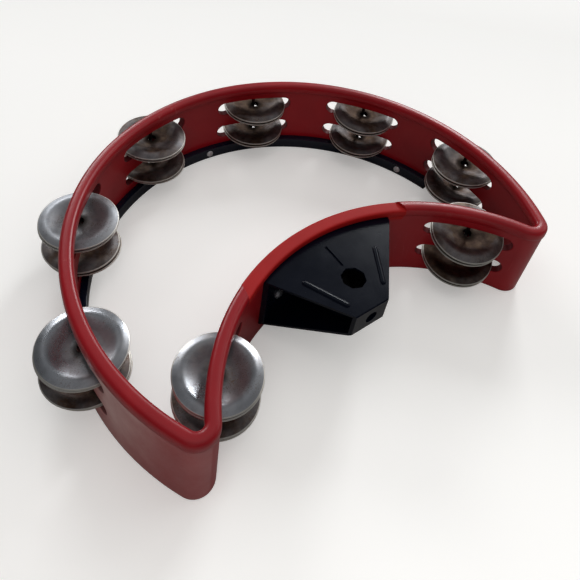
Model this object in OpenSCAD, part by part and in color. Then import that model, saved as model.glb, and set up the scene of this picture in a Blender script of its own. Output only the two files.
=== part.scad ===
// Half-moon tambourine: a closed crescent frame with a grip, sixteen pairs of jingles
// on eight pins, a strip inside the foot of the outer arc and a stand bracket.
// It rests on z = 0 with the outer arc towards +y; the bracket sits in the hollow of
// the grip arc and its nose points to -y. The overall box is centred on x = y = 0.

/* [Frame outline] */
// Radius of the outer arc, on the centreline of the rim
ring_r = 126; // [120:0.5:132]
// Radius of the grip arc, on the centreline of the rim
grip_r = 112; // [108:0.5:116]
// Distance from the outer arc's centre to the grip arc's centre
grip_drop = 112.5; // [110:0.5:115]
// Centreline radius of the two rounded tips
tip_r = 6.5; // [6:0.25:8]
// Height of the frame, resting face to rim top
frame_h = 52; // [50:0.5:54]

/* [Wall and rim] */
// Wall offset from the centreline towards the inside of the crescent
wall_in = 1.8; // [1.5:0.1:2.2]
// Wall offset from the centreline towards the outside
wall_out = 3.0; // [2.6:0.1:3.2]
// Width of the rounded rim
rim_w = 7; // [6.6:0.1:7.6]
// Depth of the rim's straight skirt below its round top
rim_skirt = 2.2; // [1.8:0.2:2.2]

/* [Grip] */
// Half width of the lowered grip at the far edge of the rim (+y)
grip_half_far = 49.3; // [48.5:0.1:50]
// Half width of the lowered grip at the near edge of the rim (-y)
grip_half_near = 54.3; // [53.5:0.1:55]
// How far the grip's middle lies from the frame's middle, towards -x
grip_shift = 3.5; // [2.5:0.1:4]
// How far the grip's top sits below the rim's top
grip_step = 1.7; // [1:0.1:2.2]

/* [Jingle stations] */
// Angle between neighbouring stations on the outer arc
station_pitch = 34.95; // [34:0.05:35.5]
// Angle from the grip arc's middle to each of its two stations
grip_station_angle = 47.2; // [45:0.1:47.5]
// Height of the lower slot's centre
lower_slot_z = 17.2; // [16:0.1:18]
// Height of the upper slot's centre
upper_slot_z = 36.2; // [35:0.1:37]
// Slot height
slot_h = 9.4; // [9:0.1:9.8]
// Slot length end to end
slot_len = 50.5; // [48:0.5:52]
// Pin radius
pin_r = 1.1; // [1:0.05:1.3]

/* [Jingles] */
// Jingle radius
jingle_r = 20.5; // [19.5:0.25:21]
// Sheet thickness
sheet_t = 0.7; // [0.6:0.05:0.8]
// Radius of the centre hole
hole_r = 2.5; // [2.3:0.1:2.7]
// Height step between the two jingles of a pair
pair_step = 2.1; // [1.9:0.1:2.3]

/* [Bumper strip] */
// Inner radius of the strip
strip_r = 120.1; // [119.5:0.1:121]
// Strip height
strip_h = 8; // [7:0.5:9]
// Half angle covered by the strip
strip_half = 79; // [76:1:82]

/* [Stand bracket] */
// Height of the bracket's top face
bracket_top = 45.8; // [45:0.1:46.4]
// Height of the underside at the frame
back_z = 7; // [6:0.5:9]
// Height of the underside at the nose
nose_z = 30; // [28:0.5:31]
// Distance from the outer arc's centre to the nose face
nose_reach = 52; // [50:0.5:54]
// Plate thickness
plate_t = 1.4; // [1.2:0.1:2]
// Across-flats size of the eight-sided rod socket
socket_flats = 12.2; // [11.5:0.1:12.6]
// Radius of the clamp-screw bore in the nose
bore_r = 3.4; // [3:0.1:4]

/* [Hidden] */
$fn = 96;
// small offset that keeps matching surfaces apart
fit = 0.02;
// gap between the frame wall and the parts screwed to it, and under screw heads
mount_gap = 0.05;
// the tips' section is this much larger, and the arcs run this many degrees into them
tip_grow = 0.1;
lap = 0.2;

// crescent: x and y are measured from the outer arc's centre
grip_centre = [0, -grip_drop, 0];
// tip centres are tangent to both arcs: distances from the outer and grip arc centres
tip_to_ring = ring_r - tip_r;
tip_to_grip = grip_r + tip_r;
tip_y = (pow(tip_to_grip, 2) - pow(tip_to_ring, 2) - pow(grip_drop, 2)) / (2 * grip_drop);
tip_x = sqrt(pow(tip_to_ring, 2) - pow(tip_y, 2));
// direction of the +x tip from each arc's centre
ring_end = atan2(tip_y, tip_x);
grip_end = atan2(tip_y + grip_drop, tip_x);
wall_mid = (wall_out - wall_in) / 2;
rim_r = rim_w / 2;
rim_z = frame_h - rim_r;
grip_z = frame_h - grip_step;
grip_cap_half = 26;

slot_depth = 24;
pin_z = 1.5;
pin_h = 43.6;
pin_hole_top = 45.5;

// screws: angles from +y, counter-clockwise about their arc's centre
strip_screw_angles = [56, -2.4, -68.4];
strip_screw_z = 4.3;
strip_screw_r = 1.4;
bracket_screw_angles = [17.2, -17.2];
bracket_screw_z = 27;
bracket_screw_r = 1.6;
screw_play = 0.1;

// bracket
seat_r = grip_r - wall_out - mount_gap;
seat_wall = 3;
nose_y = -nose_reach;
nose_x = -6.5;
socket_x = -3.4;
socket_y = -33.4;
socket_boss_r = 8.8;
bore_x = -6;
bore_z = nose_z + 8;
bore_boss_r = 6.2;
rib_rise = 0.95;
groove_w = 1.3;
groove_depth = 0.7;
// length that reaches past the bracket from the middle
clear = 60;

// a station: [x, y, direction away from its arc's centre]
function arc_station(centre_y, radius, angle) =
    [radius * cos(angle), centre_y + radius * sin(angle), angle];
// six on the outer arc, then two on the grip arc, each run from -x to +x
stations = concat(
    [for (i = [0:5]) arc_station(0, ring_r + wall_mid, 90 + (2.5 - i) * station_pitch)],
    [for (side = [-1, 1])
        arc_station(-grip_drop, grip_r - wall_mid, 90 - side * grip_station_angle)]);

// where each jingle rests on its pin, along and across its slot, as a share of the
// clearance between hole and pin; a row per station: [upper a, upper b, lower a, lower b]
play = [
    [[-0.6, 0.3], [-0.3, 0.5], [0.2, 0.4], [0.5, -0.2]],
    [[-0.8, -0.3], [-0.85, -0.1], [-0.8, 0.2], [-0.7, -0.4]],
    [[0.1, -0.85], [0.35, -0.6], [-0.3, -0.5], [0.4, -0.4]],
    [[0.8, -0.4], [0.7, -0.5], [0.8, -0.3], [0.75, -0.4]],
    [[0.7, -0.5], [0.5, -0.6], [0.7, -0.5], [0.5, -0.65]],
    [[0.6, -0.6], [0.5, -0.7], [0.6, -0.5], [0.4, -0.6]],
    [[-0.85, 0.2], [-0.85, 0.1], [-0.8, 0.3], [-0.75, 0.4]],
    [[0.1, -0.85], [-0.3, -0.8], [-0.2, -0.85], [-0.4, -0.75]]
];
// lean of each pair in degrees, the side facing the arc's centre down: [upper, lower]
lean = [[0, 0], [1, 2], [3, 1.5], [2, 2.5], [4, 5], [5, 2], [1, 1], [10, 10]];
// dished sheet: [radius, height] along its top face
dish = [
    [hole_r, -0.95], [3.1, -0.9], [3.9, -1.2], [5.5, -1.3], [7, -1.2],
    [9, -0.9], [11, -0.35], [13, 0.3], [14.5, 0.8], [15.5, 1.02],
    [16.3, 1.08], [17.1, 1.0], [18.3, 0.7], [19.5, 0.3], [jingle_r, 0]
];

// i is the station and k the place in its row of play, both counted from 0
function slack(i, k) = play[i][k] * (hole_r - pin_r);
function jingle_x(i, k) = stations[i][0]
    + slack(i, k)[0] * cos(stations[i][2] - 90) - slack(i, k)[1] * sin(stations[i][2] - 90);
function jingle_y(i, k) = stations[i][1]
    + slack(i, k)[0] * sin(stations[i][2] - 90) + slack(i, k)[1] * cos(stations[i][2] - 90);

// shift that centres the overall box
jingle_xs = [for (i = [0:7], k = [0:3]) jingle_x(i, k)];
jingle_ys = [for (i = [0:7], k = [0:3]) jingle_y(i, k)];
y_max = max(jingle_ys) + jingle_r;
y_min = tip_y - tip_r - rim_r - tip_grow;
shift = [-(max(jingle_xs) + min(jingle_xs)) / 2, -(y_max + y_min) / 2, 0];

// rounds the rim a little squarer than a half circle
function bow(v) = sign(v) * pow(abs(v), 0.76);

// cross-section of wall and rim: [offset from the centreline, outwards; height]
function wall_section(grow = 0) =
    let (skirt_z = rim_z - rim_skirt, inner = -wall_in - grow, outer = wall_out + grow,
        rim = rim_r + grow)
    concat(
        [[inner + 0.5, 0], [outer - 0.7, 0], [outer - 0.2, 0.2], [outer, 0.7],
         [outer, skirt_z - 0.5 - grow], [rim - 0.15, skirt_z - grow], [rim, skirt_z + 0.3]],
        [for (i = [0:14]) [rim * bow(cos(i * 180 / 14)), rim_z + rim * bow(sin(i * 180 / 14))]],
        [[-rim, skirt_z + 0.6], [-rim + 0.4, skirt_z - grow],
         [inner, skirt_z - 1.2 - grow], [inner, 0.5]]);

// cross-section of the grip, same columns
grip_section = [
    [-3.2, 43.6], [2.9, 43.6], [2.95, 46], [3.6, 46.6], [3.75, 47.4],
    [3.75, grip_z - 1.3], [3.45, grip_z - 0.55], [2.9, grip_z - 0.12], [2.2, grip_z],
    [-2.2, grip_z], [-3.0, grip_z - 0.2], [-3.5, grip_z - 0.7],
    [-3.75, grip_z - 1.5], [-3.75, 45.2], [-3.6, 44.4]
];

// sweeps a flat section about z, from one angle to another
module sweep(start, end, radius) {
    rotate([0, 0, start]) rotate_extrude(angle = end - start) translate([radius, 0]) children();
}

// places children at each angle from +y, their x pointing away from the centre
module radially(angles, radius, z) {
    for (angle = angles) rotate([0, 0, 90 + angle]) translate([radius, 0, z]) children();
}

module radial_holes(angles, start, z, hole, depth) {
    radially(angles, start, z) rotate([0, 90, 0]) cylinder(r = hole, h = depth);
}

// x runs along the slot, y away from the arc's centre
module at_station(i) {
    translate([stations[i][0], stations[i][1], 0]) rotate([0, 0, stations[i][2] - 90]) children();
}

// turns x along the plan line from start to end
module along(start, end, z) {
    line = end - start;
    translate([start[0], start[1], z]) rotate([0, 0, atan2(line[1], line[0])]) children();
}

// round-ended slot: length along x, height along z, cut along y
module slot_cut() {
    half = slot_len / 2 - slot_h / 2;
    cube([2 * half, slot_depth, slot_h], center = true);
    for (side = [-1, 1]) translate([side * half, 0, 0]) rotate([90, 0, 0])
        cylinder(r = slot_h / 2, h = slot_depth, center = true);
}

// closed crescent of wall and rim
module crescent() {
    sweep(ring_end - lap, 180 - ring_end + lap, ring_r) polygon(wall_section());
    translate(grip_centre) sweep(grip_end - lap, 180 - grip_end + lap, grip_r)
        mirror([1, 0]) polygon(wall_section());
    translate([tip_x, tip_y, 0]) sweep(grip_end - 180, ring_end, tip_r)
        polygon(wall_section(tip_grow));
    translate([-tip_x, tip_y, 0]) sweep(180 - ring_end, 360 - grip_end, tip_r)
        polygon(wall_section(tip_grow));
}

// clears the rim above the lowered grip
module grip_clearance() {
    translate([0, 0, grip_z]) linear_extrude(height = 4) translate([-grip_shift, 0]) polygon([
        [-grip_half_far, 8], [grip_half_far, 8], [grip_half_near, -28], [-grip_half_near, -28]]);
}

module grip() {
    middle = 90 + grip_shift / 2;
    translate(grip_centre) sweep(middle - grip_cap_half, middle + grip_cap_half, grip_r)
        mirror([1, 0]) polygon(grip_section);
}

module frame() {
    color("firebrick") translate(shift) difference() {
        union() {
            difference() {
                union() crescent();
                grip_clearance();
            }
            grip();
        }
        for (i = [0:7]) at_station(i) {
            for (z = [lower_slot_z, upper_slot_z]) translate([0, 0, z]) slot_cut();
            translate([0, 0, -1]) cylinder(r = pin_r + fit, h = pin_hole_top + 1);
        }
        radial_holes(strip_screw_angles, start = ring_r - wall_in - 2, z = strip_screw_z,
            hole = strip_screw_r + fit, depth = 5);
        translate(grip_centre)
            radial_holes(bracket_screw_angles, start = grip_r - wall_out - 1,
                z = bracket_screw_z, hole = bracket_screw_r + fit, depth = 4.8);
    }
}

module bumper_strip() {
    outer = ring_r - wall_in - mount_gap;
    color("#10131a") translate(shift) difference() {
        sweep(90 - strip_half, 90 + strip_half, 0) polygon([
            [strip_r + 0.5, 0], [outer, 0], [outer, strip_h], [strip_r + 0.9, strip_h],
            [strip_r + 0.3, strip_h - 0.25], [strip_r, strip_h - 0.9], [strip_r, 0.5]]);
        radial_holes(strip_screw_angles, start = strip_r - 2, z = strip_screw_z,
            hole = strip_screw_r + screw_play, depth = 8);
    }
}

// round-head screw with a cross recess: head towards -x, shank along +x
module screw(head_r, head_h, shank_r, shank_len) {
    cross = head_r * 1.1;
    difference() {
        rotate([0, 90, 0]) rotate_extrude() polygon([
            [0, -head_h], [head_r * 0.35, -head_h * 0.96], [head_r * 0.65, -head_h * 0.8],
            [head_r * 0.88, -head_h * 0.5], [head_r, -0.15], [head_r, 0], [shank_r, 0],
            [shank_r, shank_len - 0.6], [shank_r - 0.5, shank_len], [0, shank_len]]);
        translate([0.3 - head_h, 0, 0]) {
            cube([1.6, cross, 0.5], center = true);
            cube([1.6, 0.5, cross], center = true);
        }
    }
}

module strip_screws() {
    color("silver") translate(shift)
        radially(strip_screw_angles, strip_r - mount_gap, strip_screw_z)
            screw(head_r = 2.3, head_h = 1.5, shank_r = strip_screw_r, shank_len = 6);
}

// round-ended groove in the bracket's top face
module groove(start, end) {
    length = norm(end - start);
    along(start, end, bracket_top - groove_depth) {
        translate([0, -groove_w / 2, 0]) cube([length, groove_w, 2]);
        for (x = [0, length]) translate([x, 0, 0]) cylinder(r = groove_w / 2 - fit / 2, h = 2);
    }
}

// round-backed rib standing above the bracket's top face
module rib(start, end, radius) {
    length = norm(end - start);
    intersection() {
        along(start, end, bracket_top + rib_rise - radius) {
            rotate([0, 90, 0]) cylinder(r = radius, h = length);
            for (x = [0, length]) translate([x, 0, 0]) sphere(r = radius - fit);
        }
        translate([-clear, -clear, bracket_top - 0.5]) cube([2 * clear, clear, 5]);
    }
}

// extrudes a side view of [y, z] points across the bracket
module side_prism(points) {
    translate([-clear, 0, 0]) rotate([90, 0, 90]) linear_extrude(height = 2 * clear)
        polygon(points);
}

// clamp-screw bore or its boss, running towards -y from the socket
module nose_cylinder(radius, length) {
    translate([bore_x, socket_y, bore_z]) rotate([90, 0, 0]) cylinder(r = radius, h = length);
}

// outer envelope: plan outline times side profile
module bracket_envelope() {
    intersection() {
        linear_extrude(height = bracket_top) intersection() {
            polygon([
                [-44.5, -9], [-42.5, -13.5], [nose_x - 10.5, nose_y], [nose_x + 10, nose_y],
                [39.2, -13.5], [41, -9], [41, 2], [-44.5, 2]]);
            translate([0, -grip_drop]) circle(r = seat_r, $fn = 180);
        }
        side_prism([
            [4, bracket_top], [nose_y + 0.5, bracket_top], [nose_y, bracket_top - 0.5],
            [nose_y, nose_z + 1.2], [nose_y + 1.2, nose_z], [-6, back_z], [4, back_z]]);
    }
}

// space between the plates, open at both sides, less the seat wall and the two bosses
module bracket_hollow() {
    inner_y = nose_y + plate_t + 0.2;
    inner_top = bracket_top - plate_t;
    difference() {
        side_prism([
            [4, inner_top], [inner_y, inner_top], [inner_y, nose_z + plate_t + 0.1],
            [-6, back_z + plate_t], [4, back_z + plate_t]]);
        translate(grip_centre) difference() {
            cylinder(r = seat_r + 12, h = clear, $fn = 180);
            translate([0, 0, -1]) cylinder(r = seat_r - seat_wall, h = clear + 2, $fn = 180);
        }
        translate([socket_x, socket_y, 0]) cylinder(r = socket_boss_r, h = clear);
        nose_cylinder(bore_boss_r, 20);
    }
}

module bracket() {
    color("#14171f") translate(shift) difference() {
        union() {
            difference() {
                bracket_envelope();
                bracket_hollow();
            }
            rib([-26.4, -23.5], [-16.4, -44], 1.75);
            rib([18.7, -24.5], [7.8, -43], 1.6);
        }
        translate([socket_x, socket_y, 0])
            cylinder(r = socket_flats / 2 / cos(22.5), h = clear, $fn = 8);
        nose_cylinder(bore_r, 24);
        groove([socket_x, -11], [socket_x, -24]);
        translate(grip_centre)
            radial_holes(bracket_screw_angles, start = seat_r - 6, z = bracket_screw_z,
                hole = bracket_screw_r + screw_play, depth = 8);
    }
}

module bracket_screws() {
    color("silver") translate(shift + grip_centre)
        radially(bracket_screw_angles, seat_r - seat_wall - mount_gap, bracket_screw_z)
            screw(head_r = 3, head_h = 1.9, shank_r = bracket_screw_r, shank_len = 6.6);
}

module pin(i) {
    color("silver") translate(shift) at_station(i) translate([0, 0, pin_z])
        rotate_extrude() polygon([
            [0, 0], [pin_r - 0.25, 0], [pin_r, 0.3],
            [pin_r, pin_h - 0.3], [pin_r - 0.25, pin_h], [0, pin_h]]);
}

// places 0 and 1 are the upper pair, 2 and 3 the lower; the odd one lies below
module jingle(i, k) {
    slot_z = k < 2 ? upper_slot_z : lower_slot_z;
    lift = k % 2 == 0 ? 0.2 : 0.2 - pair_step;
    underside = [for (j = [len(dish) - 1:-1:0]) dish[j] - [0, sheet_t]];
    color("#8d8f94") translate(shift) at_station(i)
        translate([slack(i, k)[0], slack(i, k)[1], slot_z + lift])
            rotate([lean[i][k < 2 ? 0 : 1], 0, 0])
                rotate_extrude() polygon(concat(dish, underside));
}

frame();
bumper_strip();
strip_screws();
bracket();
bracket_screws();
pin(0);  // pin_1
pin(1);  // pin_2
pin(2);  // pin_3
pin(3);  // pin_4
pin(4);  // pin_5
pin(5);  // pin_6
pin(6);  // pin_7
pin(7);  // pin_8
jingle(0, 0);  // jingle_1ua
jingle(0, 1);  // jingle_1ub
jingle(0, 2);  // jingle_1la
jingle(0, 3);  // jingle_1lb
jingle(1, 0);  // jingle_2ua
jingle(1, 1);  // jingle_2ub
jingle(1, 2);  // jingle_2la
jingle(1, 3);  // jingle_2lb
jingle(2, 0);  // jingle_3ua
jingle(2, 1);  // jingle_3ub
jingle(2, 2);  // jingle_3la
jingle(2, 3);  // jingle_3lb
jingle(3, 0);  // jingle_4ua
jingle(3, 1);  // jingle_4ub
jingle(3, 2);  // jingle_4la
jingle(3, 3);  // jingle_4lb
jingle(4, 0);  // jingle_5ua
jingle(4, 1);  // jingle_5ub
jingle(4, 2);  // jingle_5la
jingle(4, 3);  // jingle_5lb
jingle(5, 0);  // jingle_6ua
jingle(5, 1);  // jingle_6ub
jingle(5, 2);  // jingle_6la
jingle(5, 3);  // jingle_6lb
jingle(6, 0);  // jingle_7ua
jingle(6, 1);  // jingle_7ub
jingle(6, 2);  // jingle_7la
jingle(6, 3);  // jingle_7lb
jingle(7, 0);  // jingle_8ua
jingle(7, 1);  // jingle_8ub
jingle(7, 2);  // jingle_8la
jingle(7, 3);  // jingle_8lb
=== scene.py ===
# A crescent-shaped tambourine lying flat, z up. The rim arc bulges towards +y and the grip
# arc closes it below; two round tips join them at -x and +x. Six slotted stations on the rim
# and two on the grip arc each hold two pairs of jingles on a pin. Lengths are in mm until
# they are scaled by MM; light and floor sizes are in metres.
import math

import bmesh
import bpy
import numpy as np
from mathutils import Matrix, Vector


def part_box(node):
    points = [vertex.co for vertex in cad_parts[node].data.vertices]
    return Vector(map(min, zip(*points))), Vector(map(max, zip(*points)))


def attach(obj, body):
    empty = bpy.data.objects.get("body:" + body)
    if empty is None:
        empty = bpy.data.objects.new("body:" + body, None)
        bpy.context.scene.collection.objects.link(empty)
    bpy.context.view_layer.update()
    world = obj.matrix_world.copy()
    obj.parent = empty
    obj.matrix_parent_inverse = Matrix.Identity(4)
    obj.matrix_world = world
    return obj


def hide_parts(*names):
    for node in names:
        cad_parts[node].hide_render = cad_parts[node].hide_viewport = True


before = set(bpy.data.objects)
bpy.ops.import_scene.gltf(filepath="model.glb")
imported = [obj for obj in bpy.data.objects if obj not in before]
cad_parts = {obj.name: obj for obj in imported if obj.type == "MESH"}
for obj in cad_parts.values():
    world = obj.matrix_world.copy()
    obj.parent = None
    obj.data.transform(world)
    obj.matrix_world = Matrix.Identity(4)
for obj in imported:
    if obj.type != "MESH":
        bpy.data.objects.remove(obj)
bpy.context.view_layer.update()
MM = 0.001
rng = np.random.default_rng(7)

# ---------------------------------------------------------------- the frame's path
RIM_R, GRIP_R, TIP_R = 126.0, 112.0, 6.5
GRIP_DROP = 112.5  # how far the grip arc's centre lies below the rim arc's, along y

# A tip's centre is this far from the centres of the two arcs it touches.
TIP_TO_RIM, TIP_TO_GRIP = RIM_R - TIP_R, GRIP_R + TIP_R
TIP_Y = (TIP_TO_GRIP**2 - TIP_TO_RIM**2 - GRIP_DROP**2) / (2 * GRIP_DROP)
TIP_X = math.sqrt(TIP_TO_RIM**2 - TIP_Y**2)
RIM_ANGLE = math.degrees(math.atan2(TIP_Y, TIP_X))
GRIP_ANGLE = math.degrees(math.atan2(TIP_Y + GRIP_DROP, TIP_X))
RIM_LEN = RIM_R * math.radians(180 - 2 * RIM_ANGLE)
TIP_LEN = TIP_R * math.radians(180 - GRIP_ANGLE + RIM_ANGLE)
GRIP_LEN = GRIP_R * math.radians(180 - 2 * GRIP_ANGLE)
# length, centre x, centre y, radius, turn (+1 counterclockwise), starting angle
ARCS = [
    (RIM_LEN, 0, 0, RIM_R, 1, RIM_ANGLE),
    (TIP_LEN, -TIP_X, TIP_Y, TIP_R, 1, 180 - RIM_ANGLE),
    (GRIP_LEN, 0, -GRIP_DROP, GRIP_R, -1, 180 - GRIP_ANGLE),
    (TIP_LEN, TIP_X, TIP_Y, TIP_R, 1, GRIP_ANGLE - 180),
]
PATH_LEN = sum(arc[0] for arc in ARCS)
GRIP_START = RIM_LEN + TIP_LEN
GRIP_END = GRIP_START + GRIP_LEN

# Rounded top of the wall: half width, centre z, half height, power of the curve
RIM_CROWN = (3.5, 48.5, 3.5, 0.76)
GRIP_CROWN = (3.75, 48.2, 2.1, 0.42)

# The rim arc's centre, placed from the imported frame's box
frame_lo, frame_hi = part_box("frame")
CENTRE_X = (frame_lo[0] + frame_hi[0]) / 2 / MM
CENTRE_Y = frame_hi[1] / MM - (RIM_R + RIM_CROWN[0])


def path(s, offset):
    """Points (x, y) at path lengths s and outward offsets."""
    s, offset = np.broadcast_arrays(np.asarray(s, float) % PATH_LEN, np.asarray(offset, float))
    x, y = np.zeros(s.shape), np.zeros(s.shape)
    start = 0.0
    for length, arc_x, arc_y, radius, turn, first_angle in ARCS:
        on_arc = (s >= start) & (s < start + length)
        angle = math.radians(first_angle) + turn * (s - start) / radius
        reach = radius + turn * offset
        x[on_arc] = (arc_x + reach * np.cos(angle))[on_arc]
        y[on_arc] = (arc_y + reach * np.sin(angle))[on_arc]
        start += length
    return x + CENTRE_X, y + CENTRE_Y


def on_rim(degrees):
    return RIM_R * math.radians(degrees - RIM_ANGLE)


def on_grip(degrees):
    return GRIP_START + GRIP_R * math.radians(180 - GRIP_ANGLE - degrees)


RIM_PITCH = 34.95  # degrees between rim stations
GRIP_SPREAD = 47.2  # degrees from the middle to each grip station
# station number: path length of its middle, arc radius, arc turn
STATIONS = {n + 1: (on_rim(90 + (2.5 - n) * RIM_PITCH), RIM_R, 1) for n in range(6)}
STATIONS[7] = (on_grip(90 + GRIP_SPREAD), GRIP_R, -1)
STATIONS[8] = (on_grip(90 - GRIP_SPREAD), GRIP_R, -1)

# ---------------------------------------------------------------- the wall's cross-section
SLOT_Z = (17.2, 36.2)
WALL_OUT, WALL_IN = 3.0, -1.8
BLOCK_HALF_H, BLOCK_ROWS = 7.7, 8  # block of wall remeshed round each slot
BLOCK_HALF_L, BLOCK_COLUMNS = 27.5, 28
CROWN_STEPS = 28


def block_heights(slot_z):
    low = slot_z - BLOCK_HALF_H
    return [low + i * 2 * BLOCK_HALF_H / BLOCK_ROWS for i in range(BLOCK_ROWS + 1)]


BLOCKS_Z = [block_heights(z) for z in SLOT_Z]
WALL_Z = [3.0, 6.0, *BLOCKS_Z[0], sum(SLOT_Z) / 2, *BLOCKS_Z[1]]

# Points are (offset, z). Shoulders pair the full rim's point with the lowered grip's.
FOOT_OUT = [(2.1, 0.0), (2.62, 0.1), (2.92, 0.36), (3.0, 0.8)]
FOOT_IN = [(-1.8, 0.7), (-1.72, 0.3), (-1.5, 0.08), (-1.1, 0.0)]
SHOULDER_OUT = [
    ((3.0, 45.35), (3.0, 44.9)), ((3.02, 45.75), (3.02, 45.7)), ((3.12, 45.98), (3.1, 46.02)),
    ((3.38, 46.16), (3.5, 46.3)), ((3.5, 46.45), (3.72, 46.75)),
]
SHOULDER_IN = [
    ((-3.5, 47.0), (-3.75, 45.3)), ((-3.42, 46.6), (-3.68, 44.7)), ((-3.1, 46.35), (-3.35, 44.2)),
    ((-2.1, 45.75), (-2.2, 43.95)), ((-1.84, 45.4), (-1.84, 43.6)), ((-1.8, 44.9), (-1.8, 43.3)),
]


def crown_point(crown, angle):
    half_width, centre_z, half_height, power = crown

    def bend(value):
        return math.copysign(abs(value) ** power, value)

    return half_width * bend(math.cos(angle)), centre_z + half_height * bend(math.sin(angle))


def sections():
    """Closed sections of the full rim and the lowered grip, point for point."""
    pairs = [(p, p) for p in FOOT_OUT]
    pairs += [((WALL_OUT, z), (WALL_OUT, min(z, 43.7))) for z in WALL_Z]
    pairs += SHOULDER_OUT
    for i in range(CROWN_STEPS + 1):
        angle = math.pi * i / CROWN_STEPS
        pairs.append((crown_point(RIM_CROWN, angle), crown_point(GRIP_CROWN, angle)))
    pairs += SHOULDER_IN
    # each capped row sits a hair under the last, so none coincide
    for k, z in enumerate(WALL_Z[::-1]):
        pairs.append(((WALL_IN, z), (WALL_IN, min(z, 43.0 - 0.02 * k))))
    pairs += [(p, p) for p in FOOT_IN]
    return np.array(pairs).swapaxes(0, 1)


RIM_SECTION, GRIP_SECTION = sections()
SECTION_LEN = len(RIM_SECTION)


# ---------------------------------------------------------------- mesh helpers
def add_object(name, data):
    ob = bpy.data.objects.new(name, data)
    bpy.context.scene.collection.objects.link(ob)
    return ob


def new_mesh(name, verts, faces, attributes, sharp=0):
    """Smooth mesh with float point attributes; edges over `sharp` degrees stay sharp."""
    me = bpy.data.meshes.new(name)
    me.from_pydata([tuple(v) for v in verts], [], faces)
    for key, values in attributes.items():
        attribute = me.attributes.new(key, "FLOAT", "POINT")
        attribute.data.foreach_set("value", np.asarray(values, np.float32))
    bm = bmesh.new()
    bm.from_mesh(me)
    loose = [v for v in bm.verts if not v.link_faces]
    bmesh.ops.delete(bm, geom=loose, context="VERTS")
    bmesh.ops.recalc_face_normals(bm, faces=bm.faces)
    bm.to_mesh(me)
    bm.free()
    me.shade_smooth()
    if sharp:
        me.set_sharp_from_angle(angle=math.radians(sharp))
    return add_object(name, me)


# ---------------------------------------------------------------- frame shell
STEPS = (on_grip(90 + 30.03), on_grip(90 - 25.67))  # ends of the lowered grip
STEP_SKEW = (-0.779, 0.664)  # slant of each step across the wall
STEP_FADE = 4.6  # length over which the slant dies out
# distance from a step, share of the change made
AFTER_STEP = ((0.0, 0.5), (0.1, 0.9), (0.22, 1.0), (0.45, 1.0), (0.9, 1.0), (1.8, 1.0), (3.1, 1.0))
BEFORE_STEP = ((3.1, 0.0), (1.8, 0.0), (0.9, 0.0), (0.45, 0.0), (0.22, 0.0), (0.1, 0.1))
TIP_SPACING, ARC_SPACING = 0.75, 1.9  # longest gap between columns

SLOT_HALF_L, SLOT_R = 20.55, 4.7  # slot: half its straight length, radius of its ends
SLOT_ARC_STEP, SLOT_SIDE_STEPS = 11.25, 20
SLOT_FLARE = 0.42  # extra radius where the rounded edge meets the wall
FLAT_SHARES = (0.4, 0.75, 0.93, 1.0)  # rings from the block's border to the slot
EDGE_RINGS = ((0.2, 0.05), (0.06, 0.19), (0.0, 0.45), (0.0, 0.9))  # extra radius, depth
FULL_SHADE_DEPTH = 0.45  # depth at which a slot's painted shade is full


def plain_columns(begin, end):
    """Columns (s, lowered share, skew share) from begin up to end."""
    cuts = [c for c in (RIM_LEN, GRIP_START, GRIP_END, *STEPS) if begin < c < end]
    marks = sorted([begin, *cuts, end])
    columns = []
    for low, high in zip(marks[:-1], marks[1:]):
        middle = (low + high) / 2
        on_tip = RIM_LEN < middle < GRIP_START or middle > GRIP_END
        lowered = float(STEPS[0] < middle < STEPS[1])
        if low in STEPS:
            for gap, share in AFTER_STEP:
                level = share if lowered else 1 - share
                columns.append((low + gap, level, 1 - gap / STEP_FADE))
            low += STEP_FADE
        tail = []
        if high in STEPS:
            tail.append((high - STEP_FADE, lowered, 0.0))
            for gap, share in BEFORE_STEP:
                level = 1 - share if lowered else share
                tail.append((high - gap, level, 1 - gap / STEP_FADE))
            high -= STEP_FADE
        count = max(1, math.ceil((high - low) / (TIP_SPACING if on_tip else ARC_SPACING)))
        columns += [(low + (high - low) * i / count, lowered, 0.0) for i in range(count)]
        columns += tail
    return columns


def frame_columns():
    """All columns round the path, and each station's first block column."""
    columns, blocks, position = [], {}, 0.0
    for middle, n in sorted((station[0], n) for n, station in STATIONS.items()):
        start = middle - BLOCK_HALF_L
        columns += plain_columns(position, start)
        blocks[n] = len(columns)
        for i in range(BLOCK_COLUMNS):
            columns.append((start + 2 * BLOCK_HALF_L * i / BLOCK_COLUMNS, 0.0, 0.0))
        position = middle + BLOCK_HALF_L
    return columns + plain_columns(position, PATH_LEN), blocks


def scuff_and_sheen_share(s, offset, z):
    """How pale the outer wall is drawn, rubbed wear plus a painted reflection of the floor: most
    on the rim just before the -x tip, more towards the top.
    """
    s, offset, z = np.broadcast_arrays(s, offset, z)
    rim = np.exp(-(((s - (RIM_LEN - 42)) / 30.0) ** 2)) * (0.55 + 0.45 * np.clip(z / 40.0, 0, 1))
    tip = 0.22 * np.exp(-(((s - RIM_LEN) / 26.0) ** 2))
    outer_wall = (offset > 1.5) * (z < 46.2) * (s < RIM_LEN + TIP_LEN * 0.6)
    return np.maximum(rim, tip) * outer_wall


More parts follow.
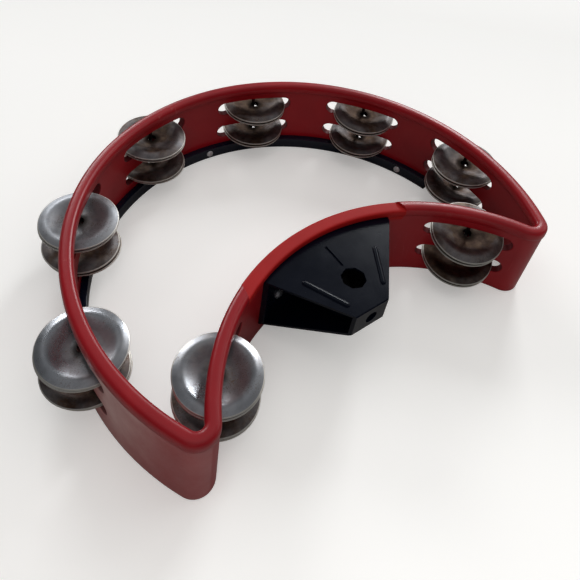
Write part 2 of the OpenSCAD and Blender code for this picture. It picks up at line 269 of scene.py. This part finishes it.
def slot_outline(n, slot_z, offset, extra):
    """Path lengths and heights round a slot, as many as round its block."""
    radius = SLOT_R + extra
    points = []

    def arc(centre, start, count):
        for k in range(count):
            angle = math.radians(start + SLOT_ARC_STEP * k)
            points.append((centre + radius * math.cos(angle), radius * math.sin(angle)))

    def side(start, height):
        for k in range(SLOT_SIDE_STEPS):
            points.append((start - 2 * start * k / SLOT_SIDE_STEPS, height))

    arc(-SLOT_HALF_L, -135, 4)
    side(-SLOT_HALF_L, -radius)
    arc(SLOT_HALF_L, -90, 16)
    side(SLOT_HALF_L, radius)
    arc(-SLOT_HALF_L, 90, 12)
    along, up = np.array(points).T
    middle, arc_r, turn = STATIONS[n]
    return middle + arc_r * np.arcsin(along / (arc_r + turn * offset)), slot_z + up


def block_border(column, row, step):
    """Border of a block as (column, row), in the order of slot_outline."""
    far_column, far_row = column + BLOCK_COLUMNS, row + step * BLOCK_ROWS
    border = [(column + i, row) for i in range(BLOCK_COLUMNS)]
    border += [(far_column, row + step * k) for k in range(BLOCK_ROWS)]
    border += [(far_column - i, far_row) for i in range(BLOCK_COLUMNS)]
    border += [(column, far_row - step * k) for k in range(BLOCK_ROWS)]
    return border


class Shell:
    def __init__(self):
        self.verts, self.faces = [], []
        # grip marks the grip's top; the others carry the outer wall's paleness (rubbed wear plus
        # painted floor reflection) and the slots' painted shade
        self.attributes = {"grip": [], "scuff_and_sheen": [], "tun": []}

    def add(self, s, offset, z, shift=0.0, grip=0.0, painted_shade=0.0):
        """Adds a run of points and returns their numbers."""
        first = len(self.verts)
        x, y = path(s + shift, offset)
        self.verts.extend(np.stack([x, y, z], -1) * MM)
        for key, values in zip(self.attributes, (grip, scuff_and_sheen_share(s, offset, z), painted_shade)):
            self.attributes[key].extend(np.broadcast_to(values, z.shape))
        return list(range(first, len(self.verts)))

    def bridge(self, a, b):
        for k in range(len(a)):
            after = (k + 1) % len(a)
            self.faces.append((a[k], a[after], b[after], b[k]))


def build_frame():
    shell = Shell()
    columns, blocks = frame_columns()
    for s, lowered, skewed in columns:
        section = RIM_SECTION * (1 - lowered) + GRIP_SECTION * lowered
        offset, z = section[:, 0], section[:, 1]
        skew = STEP_SKEW[0] if s < sum(STEPS) / 2 else STEP_SKEW[1]
        shift = skew * offset * skewed * np.clip((z - 40) / 5, 0, 1)
        shell.add(s, offset, z, shift=shift, grip=lowered * (z > 43))

    skip, patches = set(), []
    for n, column in blocks.items():
        for slot_z, heights in zip(SLOT_Z, BLOCKS_Z):
            wall_row = WALL_Z.index(heights[0])
            outer = len(FOOT_OUT) + wall_row
            inner = SECTION_LEN - len(FOOT_IN) - 1 - wall_row  # inner rows run downwards
            for i in range(BLOCK_COLUMNS):
                for k in range(BLOCK_ROWS):
                    skip.add((column + i, outer + k))
                    skip.add((column + i, inner - 1 - k))
            patches.append((n, slot_z, WALL_OUT, -1, block_border(column, outer, 1)))
            patches.append((n, slot_z, WALL_IN, 1, block_border(column, inner, -1)))

    for j in range(len(columns)):
        here, there = j * SECTION_LEN, (j + 1) % len(columns) * SECTION_LEN
        for i in range(SECTION_LEN):
            if (j, i) not in skip:
                after = (i + 1) % SECTION_LEN
                shell.faces.append((here + i, there + i, there + after, here + after))

    slot_ends = {}
    for n, slot_z, wall, inward, border in patches:
        ring = [j * SECTION_LEN + i for j, i in border]
        border_s = np.array([columns[j][0] for j, _ in border])
        border_z = np.array([RIM_SECTION[i, 1] for _, i in border])
        slot_s, slot_h = slot_outline(n, slot_z, wall, SLOT_FLARE)
        for share in FLAT_SHARES:
            s = border_s + (slot_s - border_s) * share
            z = border_z + (slot_h - border_z) * share
            following = shell.add(s, wall, z)
            shell.bridge(ring, following)
            ring = following
        for extra, depth in EDGE_RINGS:
            offset = wall + inward * depth
            s, z = slot_outline(n, slot_z, offset, extra)
            # painted shade, growing with depth into the slot
            following = shell.add(s, offset, z, painted_shade=min(1.0, depth / FULL_SHADE_DEPTH))
            shell.bridge(ring, following)
            ring = following
        slot_ends[n, slot_z, wall] = ring
    for n in STATIONS:
        for slot_z in SLOT_Z:
            shell.bridge(slot_ends[n, slot_z, WALL_OUT], slot_ends[n, slot_z, WALL_IN])
    return new_mesh("frame_shell", shell.verts, shell.faces, shell.attributes, sharp=50)


# ---------------------------------------------------------------- shader helpers
class Shader:
    """Node tree of a material or the world. Inputs take a number, a colour or a socket."""

    def __init__(self, owner):
        self.owner = owner
        owner.use_nodes = True
        self.tree = owner.node_tree
        self.coords = self.node("ShaderNodeTexCoord").outputs

    def fill(self, socket, value):
        if isinstance(value, bpy.types.NodeSocket):
            self.tree.links.new(value, socket)
        else:
            socket.default_value = value

    def node(self, kind, inputs=None, **settings):
        node = self.tree.nodes.new(kind)
        for key, value in settings.items():
            setattr(node, key, value)
        for key, value in (inputs or {}).items():
            self.fill(node.inputs[key], value)
        return node

    def noise(self, scale, detail=4, rough=0.55, distortion=0.0, vector=None):
        inputs = {"Scale": scale, "Detail": detail, "Roughness": rough, "Distortion": distortion}
        inputs["Vector"] = self.coords["Object"] if vector is None else vector
        return self.node("ShaderNodeTexNoise", inputs).outputs["Fac"]

    def ramp(self, value, *stops):
        """Colour ramp; each stop is (position, colour or grey level)."""
        node = self.node("ShaderNodeValToRGB", {"Fac": value})
        elements = node.color_ramp.elements
        while len(elements) > 1:
            elements.remove(elements[-1])
        for i, (position, color) in enumerate(stops):
            element = elements.new(position) if i else elements[0]
            element.position = position
            element.color = color if isinstance(color, tuple) else (color, color, color, 1)
        return node.outputs["Color"]

    def remap(self, value, low, high, start=0.0, end=1.0):
        """Carries start..end onto low..high."""
        inputs = {"From Min": start, "From Max": end, "To Min": low, "To Max": high}
        return self.node("ShaderNodeMapRange", {**inputs, "Value": value}).outputs["Result"]

    def math(self, operation, *values):
        inputs = dict(enumerate(values))
        return self.node("ShaderNodeMath", inputs, operation=operation).outputs[0]

    def plus(self, a, b):
        return self.math("ADD", a, b)

    def minus(self, a, b):
        return self.math("SUBTRACT", a, b)

    def times(self, a, b):
        return self.math("MULTIPLY", a, b)

    def mix(self, a, b, share, blend="MIX"):
        inputs = {0: share, 6: a, 7: b}
        node = self.node("ShaderNodeMix", inputs, data_type="RGBA", blend_type=blend)
        return node.outputs[2]

    def attribute(self, name, kind="GEOMETRY"):
        node = self.node("ShaderNodeAttribute", attribute_name=name, attribute_type=kind)
        return node.outputs["Fac"]

    def bump(self, height, strength, distance, normal=None):
        inputs = {"Strength": strength, "Distance": distance, "Height": height}
        if normal is not None:
            inputs["Normal"] = normal
        return self.node("ShaderNodeBump", inputs).outputs["Normal"]

    def surface(self, color, rough, normal, **others):
        """Fills the Principled BSDF and returns the material."""
        names = {"metal": "Metallic", "specular": "Specular IOR Level",
                 "coat": "Coat Weight", "coat_rough": "Coat Roughness"}
        inputs = self.tree.nodes["Principled BSDF"].inputs
        self.fill(inputs["Base Color"], color)
        self.fill(inputs["Roughness"], rough)
        self.fill(inputs["Normal"], normal)
        for key, value in others.items():
            self.fill(inputs[names[key]], value)
        return self.owner

    def split_by_camera(self, others, camera, output):
        """Shows the camera one shader and every other ray another."""
        is_camera = self.node("ShaderNodeLightPath").outputs["Is Camera Ray"]
        mixed = self.node("ShaderNodeMixShader", {0: is_camera, 1: others, 2: camera})
        self.fill(self.tree.nodes[output].inputs["Surface"], mixed.outputs[0])


def new_material(name):
    return Shader(bpy.data.materials.new(name))


def rgb(*levels):
    """8-bit display colour to a linear node colour."""
    shares = [level / 255 for level in levels]
    return (*(c / 12.92 if c <= 0.04045 else ((c + 0.055) / 1.055) ** 2.4 for c in shares), 1.0)


# ---------------------------------------------------------------- materials
def red_plastic():
    m = new_material("red_plastic")
    broad = m.noise(scale=14, detail=3, rough=0.5)
    fine = m.noise(scale=420, detail=5, rough=0.6)
    speck = m.noise(scale=1500, detail=2, rough=0.5)
    color = m.ramp(broad, (0.3, rgb(149, 13, 25)), (0.55, rgb(163, 15, 27)),
                   (0.75, rgb(141, 11, 23)))
    grip = m.attribute("grip")
    grip_color = m.ramp(m.noise(scale=30, detail=4, rough=0.6),
                        (0.3, rgb(168, 20, 20)), (0.7, rgb(182, 24, 23)))
    color = m.mix(color, grip_color, share=grip)
    # slightly paler rubbed patches, then the pale outer-wall patch: rubbed wear plus a painted
    # floor reflection
    rubbed = m.ramp(m.noise(scale=38, detail=6, rough=0.7), (0.56, 0), (0.74, 0.5))
    color = m.mix(color, rgb(178, 52, 50), share=m.times(rubbed, 0.35))
    uneven = m.remap(m.noise(scale=55, detail=5, rough=0.6), 0.55, 1.0, start=0.35, end=0.65)
    scuff_and_sheen = m.times(m.attribute("scuff_and_sheen"), uneven)
    color = m.mix(color, rgb(228, 188, 182), share=m.times(scuff_and_sheen, 0.98))
    # hair scratches: a thin contour of stretched noise
    stretch = m.node("ShaderNodeMapping", {
        "Scale": (60, 60, 7), "Rotation": (0.25, 0.1, 0.4), "Vector": m.coords["Object"]})
    streaks = m.noise(scale=3.2, detail=2, rough=0.4, vector=stretch.outputs["Vector"])
    line = m.ramp(m.math("ABSOLUTE", m.minus(streaks, 0.5)), (0.0, 1), (0.006, 0))
    area_mask = m.ramp(m.noise(scale=22, detail=3, rough=0.6), (0.58, 0), (0.66, 1))
    scratch = m.times(line, area_mask)
    color = m.mix(color, rgb(205, 120, 115), share=m.times(scratch, 0.35))
    # the grip is duller, scratches duller still
    rough = m.plus(m.remap(fine, 0.3, 0.4), m.remap(grip, 0.0, 0.22))
    rough = m.plus(rough, m.times(scratch, 0.25))
    normal = m.bump(fine, strength=0.045, distance=0.0004)
    normal = m.bump(speck, strength=0.02, distance=0.0002, normal=normal)
    normal = m.bump(scratch, strength=-0.2, distance=0.0001, normal=normal)
    # painted shade within the slots: walls drawn darker and duller with depth
    painted_shade = m.attribute("tun")
    color = m.mix(color, rgb(52, 7, 12), share=m.times(painted_shade, 0.72))
    rough = m.plus(rough, m.times(painted_shade, 0.3))
    return m.surface(color, rough, normal, specular=m.remap(grip, 0.5, 0.25),
                     coat=m.remap(grip, 0.05, 0.0), coat_rough=0.15)


def painted_socket_shade(m):
    """Painted shade: 1 within the bracket's rod socket, below its mouth."""
    geometry = m.node("ShaderNodeNewGeometry")
    x, y, z = m.node("ShaderNodeSeparateXYZ", {0: geometry.outputs["Position"]}).outputs
    side = m.minus(x, (CENTRE_X - 3.4) * MM)
    ahead = m.minus(y, (CENTRE_Y - 33.4) * MM)
    distance = m.math("SQRT", m.plus(m.times(side, side), m.times(ahead, ahead)))
    near = m.remap(distance, 1.0, 0.0, start=7.2 * MM, end=7.6 * MM)
    deep = m.remap(z, 1.0, 0.0, start=43.8 * MM, end=45.2 * MM)
    return m.times(near, deep)


def black_plastic(name, colors, roughness, specular=0.5, socket=False):
    m = new_material(name)
    broad = m.noise(scale=40, detail=4, rough=0.6)
    fine = m.noise(scale=700, detail=4, rough=0.6)
    color = m.mix(*colors, share=broad)
    specks = m.ramp(m.noise(scale=1900, detail=2, rough=0.5), (0.70, 0), (0.76, 1))
    dusty = m.ramp(m.noise(scale=60, detail=3, rough=0.5), (0.52, 0), (0.7, 1))
    dust = m.times(specks, dusty)
    color = m.mix(color, rgb(120, 125, 140), share=m.times(dust, 0.25))
    rough = m.plus(m.remap(broad, *roughness, start=0.3, end=0.7), m.times(dust, 0.2))
    normal = m.bump(fine, strength=0.04, distance=0.0003)
    waves = m.noise(scale=70, detail=2, rough=0.5)
    normal = m.bump(waves, strength=0.06, distance=0.001, normal=normal)
    if socket:
        # painted shade: the socket's walls are drawn near black and barely glossy
        painted_shade = painted_socket_shade(m)
        color = m.mix(color, rgb(2, 2, 3), share=painted_shade)
        specular = m.remap(painted_shade, specular, 0.02)
    return m.surface(color, rough, normal, specular=specular)


def steel(name, color, roughness, dark, metal=1.0):
    m = new_material(name)
    grain = m.noise(scale=600, detail=4, rough=0.6)
    color = m.mix(color, rgb(70, 62, 55), share=m.ramp(grain, (0.5, 0), (0.75, dark)))
    rough = m.remap(grain, *roughness, start=0.3, end=0.7)
    return m.surface(color, rough, m.bump(grain, strength=0.08, distance=0.0002), metal=metal)


def jingle_metal():
    """Worn nickel sheet. Objects carry a wear level (0 bright, 1 brown; patina plus painted
    shade), seed and matte; the mesh carries rr, its radius share."""
    m = new_material("jingle_metal")
    radius = m.attribute("rr")
    age = m.attribute("age", "OBJECT")
    seed = m.attribute("seed", "OBJECT")
    move = m.node("ShaderNodeCombineXYZ", {0: seed, 1: m.times(seed, 1.7)})
    moved = m.node("ShaderNodeVectorMath", {0: m.coords["Object"], 1: move.outputs[0]},
                   operation="ADD").outputs[0]
    broad = m.noise(scale=48, detail=4, rough=0.55, distortion=0.5, vector=moved)
    mid = m.noise(scale=220, detail=4, rough=0.6, vector=moved)
    tiny = m.noise(scale=1500, detail=3, rough=0.6, vector=moved)
    patch = m.noise(scale=75, detail=4, rough=0.6, vector=moved)
    metal = m.ramp(broad, (0.3, rgb(172, 175, 180)), (0.55, rgb(194, 198, 204)),
                   (0.8, rgb(212, 216, 221)))
    brown = m.ramp(mid, (0.25, rgb(68, 54, 48)), (0.5, rgb(98, 80, 70)),
                   (0.78, rgb(128, 108, 88)))
    rust = m.ramp(tiny, (0.35, rgb(48, 30, 20)), (0.7, rgb(104, 74, 50)))
    # patina sits in the bowl and round the hole first, then in soft patches, more with the wear
    # level, which also carries painted shade
    zone = m.ramp(radius, (0.14, 0.95), (0.26, 0.7), (0.45, 0.42), (0.68, 0.25), (0.8, 0.1),
                  (0.97, 0.14))
    level = m.plus(age, m.times(zone, 0.46))
    level = m.plus(level, m.times(m.minus(broad, 0.5), 1.15))
    tarnish_and_shade = m.remap(level, 0.0, 1.0, start=0.25, end=1.0)
    color = m.mix(metal, brown, share=tarnish_and_shade)
    mottle = m.ramp(mid, (0.3, (0.78, 0.77, 0.76, 1)), (0.5, 0.97), (0.72, 1.0))
    color = m.mix(color, mottle, share=0.75, blend="MULTIPLY")
    spots = m.ramp(tiny, (0.53, 0), (0.62, 1))
    rusty = m.times(m.ramp(patch, (0.46, 0), (0.62, 1)),
                    m.remap(level, 0.35, 0.9, start=0.2, end=0.95))
    spots = m.times(spots, rusty)
    color = m.mix(color, rust, share=spots)
    rough = m.plus(m.remap(broad, 0.22, 0.29, start=0.3, end=0.7), m.times(tarnish_and_shade, 0.15))
    rough = m.plus(rough, m.attribute("matte", "OBJECT"))
    rough = m.plus(rough, m.times(spots, 0.2))
    # darker, duller metal round the hole; along the thin outer edge, rubbed bright metal and a
    # painted highlight
    hub = m.ramp(radius, (0.13, 1), (0.19, 0.75), (0.29, 0))
    color = m.mix(color, rgb(34, 27, 23), share=m.times(hub, 0.82))
    rough = m.plus(rough, m.times(hub, 0.22))
    # painted highlight: near-white metal on the thin outer edge of the sheet
    edge = m.ramp(radius, (0.972, 0), (0.982, 1))
    color = m.mix(color, rgb(236, 232, 224), share=m.times(edge, 0.9))
    rough = m.plus(rough, m.times(edge, 0.05))
    # fine concentric rings, soft waves and pits
    rings = m.math("SINE", m.times(radius, 240.0))
    normal = m.bump(rings, strength=0.03, distance=0.00012)
    normal = m.bump(patch, strength=0.035, distance=0.0012, normal=normal)
    normal = m.bump(spots, strength=0.12, distance=0.0001, normal=normal)
    return m.surface(color, rough, normal, metal=m.remap(spots, 1.0, 0.55))


RED = red_plastic()
STRIP = black_plastic("black_strip", colors=(rgb(5, 12, 28), rgb(9, 18, 36)),
                      roughness=(0.14, 0.26))
BRACKET = black_plastic("black_bracket", colors=(rgb(3, 7, 17), rgb(7, 12, 27)),
                        roughness=(0.2, 0.28), specular=0.21, socket=True)
PIN = steel("pin_steel", rgb(90, 88, 86), roughness=(0.3, 0.5), dark=0.6)
SCREW = steel("screw_steel", rgb(226, 226, 228), roughness=(0.3, 0.42), dark=0.2, metal=0.55)
DARK_SCREW = steel("screw_dark", rgb(150, 150, 156), roughness=(0.2, 0.34), dark=0.2, metal=0.8)
JINGLE = jingle_metal()


def dress(ob, material):
    ob.data.materials.clear()
    ob.data.materials.append(material)


# ---------------------------------------------------------------- frame
frame_shell = build_frame()
dress(frame_shell, RED)
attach(frame_shell, "frame_body")
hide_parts("frame")

# ---------------------------------------------------------------- jingles
HOLE_R, DISH_R, SHEET = 2.5, 20.5, 0.62
DISH_SEGMENTS = 112
# Top face of the sheet: radius, z
DISH = [
    (HOLE_R, -1.0), (3.1, -0.98), (4.0, -1.2), (5.5, -1.3), (7, -1.2), (9, -0.9), (11, -0.35),
    (13, 0.3), (14.5, 0.8), (15.5, 1.02), (16.3, 1.08), (17.1, 1.0), (18.3, 0.7), (19.5, 0.3),
    (DISH_R, 0.0),
]
DISH_TOP = max(z for _, z in DISH)
# Rounded edges of the sheet: radius, z from the top face
OUTER_EDGE = [(20.44, -0.06), (DISH_R, -0.2), (DISH_R, -0.42), (20.44, -0.56)]
HOLE_EDGE = [(2.52, -0.55), (HOLE_R, -0.31), (2.52, -0.07)]


def smooth_profile(spacing=0.05, reach=30, blur=0.42):
    """The dish profile sampled every `spacing` and blurred; `reach` is in samples."""
    radii = np.arange(HOLE_R, DISH_R + 0.0001, spacing)
    heights = np.interp(radii, *np.array(DISH).T)
    kernel = np.exp(-0.5 * (np.arange(-reach, reach + 1) * spacing / blur) ** 2)
    kernel /= kernel.sum()
    padded = np.pad(heights, reach, mode="reflect", reflect_type="odd")
    return radii, np.convolve(padded, kernel, "valid")


PROFILE = smooth_profile()


def dish_mesh(name, seed):
    draw = np.random.default_rng(seed)
    top = [*np.linspace(2.62, 6, 11), *np.linspace(6.4, 14.2, 16), *np.linspace(14.6, 20.3, 18)]
    rings = [(r, 0.0) for r in top] + OUTER_EDGE
    rings += [(r, -SHEET) for r in top[::-1][::2]] + HOLE_EDGE
    angles = np.arange(DISH_SEGMENTS) * 2 * math.pi / DISH_SEGMENTS
    phases = draw.uniform(0, 2 * math.pi, 12)
    folds = int(draw.integers(5, 8))
    # radius, angle, width, height
    dents = [(draw.uniform(8, 19), draw.uniform(0, 2 * math.pi), draw.uniform(1.6, 3.4),
              draw.uniform(-0.045, 0.03)) for _ in range(5)]
    verts, radius_shares = [], []
    for r, below in rings:
        x, y = r * np.cos(angles), r * np.sin(angles)
        # two-fold and three-fold warp, folds round the hole, then the dents
        warp = 0.035 * np.sin(2 * angles + phases[0]) + 0.02 * np.sin(3 * angles + phases[1])
        lift = warp * (r / DISH_R) ** 2
        fold = 0.09 * np.exp(-(((r - 5.4) / 1.5) ** 2)) * np.cos(folds * angles + phases[2])
        lift += fold * (0.6 + 0.4 * np.cos(angles + phases[3]))
        for dent_r, dent_angle, width, height in dents:
            dent_x, dent_y = dent_r * math.cos(dent_angle), dent_r * math.sin(dent_angle)
            squared = (x - dent_x) ** 2 + (y - dent_y) ** 2
            lift += height * np.exp(-squared / (2 * width * width))
        z = np.interp(r, *PROFILE) + below + lift
        verts.extend(np.stack([x, y, z], -1) * MM)
        radius_shares.extend([r / DISH_R] * DISH_SEGMENTS)
    faces = []
    for i in range(len(rings)):
        this, other = i * DISH_SEGMENTS, (i + 1) % len(rings) * DISH_SEGMENTS
        for k in range(DISH_SEGMENTS):
            after = (k + 1) % DISH_SEGMENTS
            faces.append((this + k, this + after, other + after, other + k))
    return new_mesh(name, verts, faces, {"rr": radius_shares})


def seat(node):
    """Matrix that carries a dish, flat edge at z = 0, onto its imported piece."""
    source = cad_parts[node]
    me = source.data
    me.calc_loop_triangles()
    points = np.empty(len(me.vertices) * 3)
    me.vertices.foreach_get("co", points)
    world_matrix = np.array(source.matrix_world)
    points = points.reshape(-1, 3) @ world_matrix[:3, :3].T + world_matrix[:3, 3]
    corners = np.empty(len(me.loop_triangles) * 3, dtype=np.int32)
    me.loop_triangles.foreach_get("vertices", corners)
    a, b, c = points[corners.reshape(-1, 3)].swapaxes(0, 1)
    areas = np.linalg.norm(np.cross(b - a, c - a), axis=1)[:, None]
    middles = np.stack([a, b, c], 1).mean(1)
    centre = (middles * areas).sum(0) / areas.sum()
    spread = middles - centre
    # the direction of least spread is the dish's axis
    axis = np.linalg.eigh((spread * areas).T @ spread)[1][:, 0]
    if axis[2] <= 0:
        axis = -axis
    top = ((points - centre) @ axis).max()
    origin = centre + axis * (top - DISH_TOP * MM)
    turn = Vector((0, 0, 1)).rotation_difference(Vector(axis)).to_matrix().to_4x4()
    return Matrix.Translation(origin) @ turn


# station: wear of the u pair, wear of the l pair, added roughness. The wear levels also carry
# painted shade:
# the l pairs, in the u pairs' shadow, are drawn dark brown, and the darker u pairs are partly
# painted dim reflections.
JINGLE_WEAR_AND_SHADE = {
    1: (0.32, 0.82, 0.02), 2: (0.42, 0.78, 0.2), 3: (0.76, 0.8, 0.24), 4: (0.8, 0.82, 0.24),
    5: (0.76, 0.76, 0.22), 6: (0.72, 0.8, 0.18), 7: (0.38, 0.78, 0.02), 8: (0.76, 0.95, 0.12),
}
for n, (*pair_wear_and_shade, matte) in JINGLE_WEAR_AND_SHADE.items():
    for level, (level_name, age) in enumerate(zip("ul", pair_wear_and_shade)):
        for side, side_name in enumerate("ab"):
            key = f"{n}{level_name}{side_name}"
            dish = dish_mesh(f"dish_{key}", 100 + n * 7 + level * 31 + side * 3)
            spin = rng.uniform(0, 2 * math.pi)
            tilt_dir = rng.uniform(0, 2 * math.pi)
            tilt = math.radians(rng.uniform(0.05, 0.35))
            tilt_axis = Vector((math.cos(tilt_dir), math.sin(tilt_dir), 0))
            loose_turn = Matrix.Rotation(tilt, 4, tilt_axis) @ Matrix.Rotation(spin, 4, "Z")
            dish.data.transform(seat(f"jingle_{key}") @ loose_turn)
            # wear level: patina plus painted shade; the b disc of each pair is drawn a little
            # darker
            dish["age"] = age + 0.12 * side
            dish["seed"] = float(rng.uniform(0, 5))
            dish["matte"] = matte
            dress(dish, JINGLE)
            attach(dish, f"j{key}")
            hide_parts(f"jingle_{key}")


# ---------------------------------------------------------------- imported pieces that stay
def make_smooth_group(degrees=32):
    """Geometry nodes that smooth every edge up to the given angle."""
    group = bpy.data.node_groups.new("smooth_by_angle", "GeometryNodeTree")
    for direction in ("INPUT", "OUTPUT"):
        group.interface.new_socket("Geometry", in_out=direction, socket_type="NodeSocketGeometry")
    new, link = group.nodes.new, group.links.new
    group_in, group_out = new("NodeGroupInput"), new("NodeGroupOutput")
    angle = new("GeometryNodeInputMeshEdgeAngle")
    compare = new("FunctionNodeCompare")
    compare.data_type = "FLOAT"
    compare.operation = "LESS_EQUAL"
    compare.inputs["B"].default_value = math.radians(degrees)
    edges = new("GeometryNodeSetShadeSmooth")
    edges.domain = "EDGE"
    faces = new("GeometryNodeSetShadeSmooth")
    faces.domain = "FACE"
    link(angle.outputs["Unsigned Angle"], compare.inputs["A"])
    link(group_in.outputs[0], edges.inputs["Geometry"])
    link(compare.outputs["Result"], edges.inputs["Shade Smooth"])
    link(edges.outputs["Geometry"], faces.inputs["Geometry"])
    link(faces.outputs["Geometry"], group_out.inputs[0])
    return group


SMOOTH_GROUP = make_smooth_group()


def tidy(node, material):
    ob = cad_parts[node]
    dress(ob, material)
    ob.modifiers.new("weld", "WELD").merge_threshold = 2e-6
    ob.modifiers.new("smooth", "NODES").node_group = SMOOTH_GROUP
    return ob


def round_edges(ob):
    planar = ob.modifiers.new("planar", "DECIMATE")
    planar.decimate_type = "DISSOLVE"
    planar.angle_limit = math.radians(1.0)
    bevel = ob.modifiers.new("bevel", "BEVEL")
    bevel.width = 0.45 * MM
    bevel.segments = 3
    bevel.limit_method = "ANGLE"
    bevel.angle_limit = math.radians(35)
    bevel.harden_normals = True
    bevel.use_clamp_overlap = True


tidy("bumper_strip", STRIP)
tidy("strip_screws", SCREW)
round_edges(tidy("bracket", BRACKET))
tidy("bracket_screws", DARK_SCREW)
for n in STATIONS:
    tidy(f"pin_{n}", PIN)

# ---------------------------------------------------------------- floor
FLOOR_HALF = 3
# Floor brightness away from the camera: distance, gain
FLOOR_GAIN = ((-0.18, 1.08), (-0.12, 1.0), (-0.05, 0.9), (0.04, 0.88), (0.15, 0.84), (0.32, 0.7))
MAX_GAIN = 1.5  # scales gains into the ramp's 0 to 1


def floor_material():
    m = new_material("floor")
    x, y, _ = m.node("ShaderNodeSeparateXYZ", {0: m.coords["Object"]}).outputs
    distance = m.plus(m.times(x, 0.657), m.times(y, 0.754))
    near, far = FLOOR_GAIN[0][0], FLOOR_GAIN[-1][0]
    stops = [((d - near) / (far - near), gain / MAX_GAIN) for d, gain in FLOOR_GAIN]
    share = m.ramp(m.remap(distance, 0.0, 1.0, start=near, end=far), *stops)
    gain = m.times(share, MAX_GAIN)
    warm = {i: m.times(gain, tint) for i, tint in enumerate((1.0, 0.988, 0.962))}
    color = m.node("ShaderNodeCombineXYZ", warm).outputs[0]
    grain = m.bump(m.noise(scale=300, detail=3, rough=0.5), strength=0.03, distance=0.0004)
    seen = m.node("ShaderNodeBsdfDiffuse", {"Color": color, "Normal": grain})
    # the object mirrors and is lit by a dimmer floor than the camera sees
    dim = m.node("ShaderNodeBsdfDiffuse", {"Color": (0.46, 0.45, 0.435, 1)})
    glow = m.node("ShaderNodeEmission", {"Color": (1.0, 0.99, 0.97, 1), "Strength": 0.30})
    bright = m.node("ShaderNodeAddShader", {0: seen.outputs[0], 1: glow.outputs[0]})
    m.split_by_camera(dim.outputs[0], bright.outputs[0], "Material Output")
    return m.owner


floor_mesh = bpy.data.meshes.new("floor")
floor_signs = ((-1, -1), (1, -1), (1, 1), (-1, 1))
floor_corners = [(x * FLOOR_HALF, y * FLOOR_HALF, 0) for x, y in floor_signs]
floor_mesh.from_pydata(floor_corners, [], [(0, 1, 2, 3)])
floor = add_object("floor", floor_mesh)
floor_mesh.materials.append(floor_material())

# ---------------------------------------------------------------- lights
AIM = Vector((0, 0, 0.03))
WINDOW_DISTANCE = 1.6


def area(name, place, aim, size, radiance, color, mirrored=True):
    """Area light; its power is radiance x pi x area."""
    data = bpy.data.lights.new(name, "AREA")
    data.shape = "RECTANGLE"
    data.size, data.size_y = size
    data.energy = radiance * math.pi * size[0] * size[1]
    data.color = color
    light = add_object(name, data)
    light.location = place
    light.rotation_mode = "QUATERNION"
    light.rotation_quaternion = (Vector(aim) - Vector(place)).to_track_quat("-Z", "Y")
    light.visible_glossy = mirrored


def window(name, direction, **light):
    area(name, AIM + Vector(direction).normalized() * WINDOW_DISTANCE, AIM, **light)


window("window_back", (0.10, 0.87, 0.48), size=(0.6, 0.42), radiance=8.0, color=(0.96, 0.98, 1.0))
window("window_right", (0.74, 0.42, 0.54), size=(0.42, 0.42), radiance=15.0,
       color=(0.95, 0.98, 1.0))
area("soft_top", (0.3, -0.4, 1.9), aim=(0.1, -0.2, 0), size=(3.0, 2.8), radiance=0.50,
     color=(1.0, 0.985, 0.965), mirrored=False)
window("panel_right", (0.85, -0.2, 0.45), size=(1.0, 0.6), radiance=1.1, color=(1.0, 0.98, 0.96))
area("fill_front", (-1.2, -1.15, 0.95), aim=(0, -0.05, 0.02), size=(1.0, 0.9), radiance=1.55,
     color=(1.0, 0.985, 0.97), mirrored=False)


# ---------------------------------------------------------------- world
def build_world():
    world = bpy.data.worlds.new("studio")
    bpy.context.scene.world = world
    w = Shader(world)
    height = w.node("ShaderNodeSeparateXYZ", {0: w.coords["Generated"]}).outputs["Z"]
    # height of the direction, brightness
    sky = ((0.0, 0.07), (0.72, 0.09), (0.9, 0.2), (1.0, 0.36))
    color = w.ramp(height, *((z, (c, c * 1.01, c * 1.04, 1)) for z, c in sky))
    background = w.tree.nodes["Background"]
    w.fill(background.inputs["Color"], color)
    w.fill(background.inputs["Strength"], 1.0)
    # the camera sees a plain pale backdrop beyond the floor's edge
    pale = w.node("ShaderNodeBackground", {"Color": (0.93, 0.925, 0.905, 1)})
    w.split_by_camera(background.outputs[0], pale.outputs[0], "World Output")


build_world()

# ---------------------------------------------------------------- camera
camera_data = bpy.data.cameras.new("camera")
camera_data.sensor_width = 36.0
camera_data.lens = 38.71
camera_data.shift_y = -0.2543
camera_data.clip_start, camera_data.clip_end = 0.01, 20
camera = add_object("camera", camera_data)
right = Vector((0.80807, -0.57789, 0.11438)).normalized()
forward = Vector((0.50437, 0.57837, -0.64117)).normalized()
facing = Matrix((right, right.cross(forward), -forward)).transposed().to_4x4()
camera_place = ((-164.19 + CENTRE_X) * MM, (-155.13 + CENTRE_Y) * MM, 290.98 * MM)
camera.matrix_world = Matrix.Translation(camera_place) @ facing
bpy.context.scene.camera = camera
bpy.context.scene.view_settings.view_transform = "Standard"
bpy.context.scene.view_settings.look = "None"
